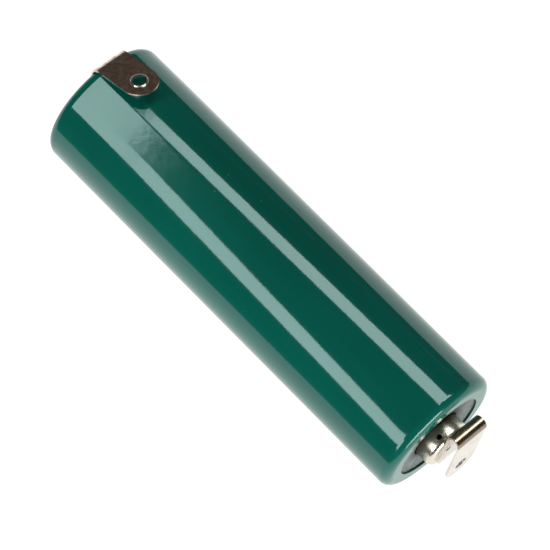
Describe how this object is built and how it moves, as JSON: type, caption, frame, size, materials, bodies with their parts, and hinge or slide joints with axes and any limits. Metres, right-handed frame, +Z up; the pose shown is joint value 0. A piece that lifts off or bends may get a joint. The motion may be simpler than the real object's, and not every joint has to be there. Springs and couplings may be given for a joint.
{
  "type": "battery cell",
  "caption": "Cylindrical rechargeable cell in a green plastic sleeve, with a folded solder tag welded to each end and a resealing vent valve under the positive cap.",
  "frame": {"origin": "on the cell's axis, in the plane of the sleeve's negative end", "axes": "+X along the cell's axis toward the positive terminal, +Z up with the cell lying on its side, so that the folded tags face up"},
  "size_m": [0.0522, 0.0142, 0.0155],
  "materials": {
    "green_sleeve": "deep green glossy shrink film",
    "can_steel": "nickel-plated drawn steel",
    "tag_nickel": "bright nickel strip, lightly stained",
    "cap_nickel": "polished nickel plate",
    "plate_steel": "nickel-plated steel",
    "spring_steel": "drawn spring wire",
    "washer_fibre": "grey fibre board",
    "gasket_nylon": "translucent nylon",
    "valve_rubber_black": "soft black rubber",
    "separator_felt": "white non-woven felt",
    "positive_foam": "dark filled metal foam",
    "negative_alloy": "grey powder on a steel strip",
    "insulator_paper": "pressed paper"
  },
  "bodies": {
    "cell": {"sleeve": "green_sleeve", "can": "can_steel", "insulating_washer": "washer_fibre", "gasket": "gasket_nylon", "sealing_plate": "plate_steel", "positive_cap": "cap_nickel", "separator_inner": "separator_felt", "separator_outer": "separator_felt", "positive_electrode": "positive_foam", "negative_electrode": "negative_alloy", "lower_insulator": "insulator_paper", "positive_collector": "plate_steel", "upper_insulator": "insulator_paper", "positive_lead": "tag_nickel", "negative_tag": "tag_nickel", "positive_tag": "tag_nickel", "valve_spring": "spring_steel"},
    "valve": {"valve_plate": "plate_steel", "valve_rubber": "valve_rubber_black"}
  },
  "joints": [
    {"name": "vent_valve", "type": "slide", "parent": "cell", "child": "valve", "axis": [1, 0, 0], "range_m": [0, 0.0003], "stiffness_N_per_m": 3000, "springref_m": -0.001, "deforming": ["valve_spring"]}
  ]
}
